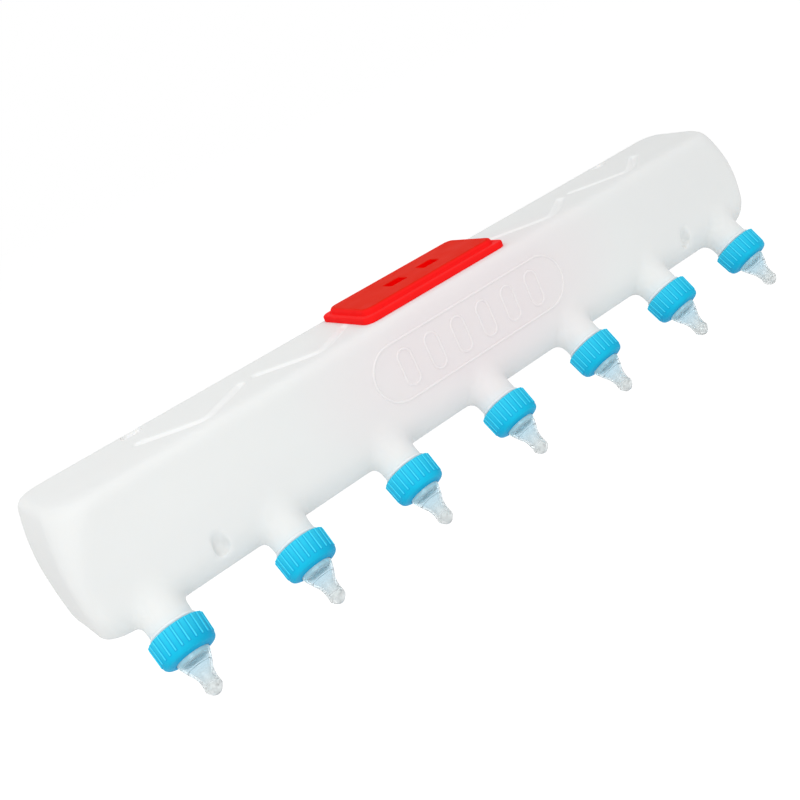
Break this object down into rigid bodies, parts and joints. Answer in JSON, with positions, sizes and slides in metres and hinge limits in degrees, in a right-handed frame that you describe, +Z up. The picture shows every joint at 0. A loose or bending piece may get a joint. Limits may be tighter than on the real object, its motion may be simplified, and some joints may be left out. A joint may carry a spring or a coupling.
{
  "type": "multi nipple livestock drinker",
  "caption": "Long wall-hung white milk tank with a row of screw-capped clear teats along its lower front edge and a red push-on lid on top.",
  "frame": {"origin": "middle of the tank's flat back face, halfway along its length and halfway up its height", "axes": "+X along the tank, +Y out of the flat back into the wall or fence, +Z up; the teats point to -Y and down"},
  "size_m": [0.6948, 0.1363, 0.1559],
  "materials": {
    "tank_polyethylene": "satin, slightly translucent natural white",
    "lid_plastic": "satin red",
    "cap_plastic": "satin cyan blue",
    "teat_silicone": "smooth clear silicone"
  },
  "bodies": {
    "tank": {"tank": "tank_polyethylene"},
    "lid": {"lid": "lid_plastic"},
    "nipple_1": {"nipple_1": "teat_silicone"},
    "nipple_2": {"nipple_2": "teat_silicone"},
    "nipple_3": {"nipple_3": "teat_silicone"},
    "nipple_4": {"nipple_4": "teat_silicone"},
    "nipple_5": {"nipple_5": "teat_silicone"},
    "nipple_6": {"nipple_6": "teat_silicone"},
    "nipple_7": {"nipple_7": "teat_silicone"},
    "screw_cap_1": {"screw_cap_1": "cap_plastic"},
    "screw_cap_2": {"screw_cap_2": "cap_plastic"},
    "screw_cap_3": {"screw_cap_3": "cap_plastic"},
    "screw_cap_4": {"screw_cap_4": "cap_plastic"},
    "screw_cap_5": {"screw_cap_5": "cap_plastic"},
    "screw_cap_6": {"screw_cap_6": "cap_plastic"},
    "screw_cap_7": {"screw_cap_7": "cap_plastic"}
  },
  "joints": [
    {"name": "lid_lift", "type": "slide", "parent": "tank", "child": "lid", "axis": [0, 0, 1], "range_m": [0, 0.12]},
    {"name": "nipple_travel_1", "type": "slide", "parent": "tank", "child": "nipple_1", "axis": [0, -0.6494, -0.7604], "range_m": [0, 0.00701]},
    {"name": "cap_turn_1", "type": "hinge", "parent": "nipple_1", "child": "screw_cap_1", "pos_m": [-0.3, -0.1112, -0.06592], "axis": [0, -0.6494, -0.7604], "range_deg": [0, 720]},
    {"name": "nipple_travel_2", "type": "slide", "parent": "tank", "child": "nipple_2", "axis": [0, -0.6494, -0.7604], "range_m": [0, 0.00701]},
    {"name": "cap_turn_2", "type": "hinge", "parent": "nipple_2", "child": "screw_cap_2", "pos_m": [-0.2, -0.1112, -0.06592], "axis": [0, -0.6494, -0.7604], "range_deg": [0, 720]},
    {"name": "nipple_travel_3", "type": "slide", "parent": "tank", "child": "nipple_3", "axis": [0, -0.6494, -0.7604], "range_m": [0, 0.00701]},
    {"name": "cap_turn_3", "type": "hinge", "parent": "nipple_3", "child": "screw_cap_3", "pos_m": [-0.1, -0.1112, -0.06592], "axis": [0, -0.6494, -0.7604], "range_deg": [0, 720]},
    {"name": "nipple_travel_4", "type": "slide", "parent": "tank", "child": "nipple_4", "axis": [0, -0.6494, -0.7604], "range_m": [0, 0.00701]},
    {"name": "cap_turn_4", "type": "hinge", "parent": "nipple_4", "child": "screw_cap_4", "pos_m": [0, -0.1112, -0.06592], "axis": [0, -0.6494, -0.7604], "range_deg": [0, 720]},
    {"name": "nipple_travel_5", "type": "slide", "parent": "tank", "child": "nipple_5", "axis": [0, -0.6494, -0.7604], "range_m": [0, 0.00701]},
    {"name": "cap_turn_5", "type": "hinge", "parent": "nipple_5", "child": "screw_cap_5", "pos_m": [0.1, -0.1112, -0.06592], "axis": [0, -0.6494, -0.7604], "range_deg": [0, 720]},
    {"name": "nipple_travel_6", "type": "slide", "parent": "tank", "child": "nipple_6", "axis": [0, -0.6494, -0.7604], "range_m": [0, 0.00701]},
    {"name": "cap_turn_6", "type": "hinge", "parent": "nipple_6", "child": "screw_cap_6", "pos_m": [0.2, -0.1112, -0.06592], "axis": [0, -0.6494, -0.7604], "range_deg": [0, 720]},
    {"name": "nipple_travel_7", "type": "slide", "parent": "tank", "child": "nipple_7", "axis": [0, -0.6494, -0.7604], "range_m": [0, 0.00701]},
    {"name": "cap_turn_7", "type": "hinge", "parent": "nipple_7", "child": "screw_cap_7", "pos_m": [0.3, -0.1112, -0.06592], "axis": [0, -0.6494, -0.7604], "range_deg": [0, 720]}
  ],
  "couplings": [
    {"joint": "nipple_travel_1", "follows": "cap_turn_1", "m_per_rad": 0.000557},
    {"joint": "nipple_travel_2", "follows": "cap_turn_2", "m_per_rad": 0.000557},
    {"joint": "nipple_travel_3", "follows": "cap_turn_3", "m_per_rad": 0.000557},
    {"joint": "nipple_travel_4", "follows": "cap_turn_4", "m_per_rad": 0.000557},
    {"joint": "nipple_travel_5", "follows": "cap_turn_5", "m_per_rad": 0.000557},
    {"joint": "nipple_travel_6", "follows": "cap_turn_6", "m_per_rad": 0.000557},
    {"joint": "nipple_travel_7", "follows": "cap_turn_7", "m_per_rad": 0.000557}
  ]
}
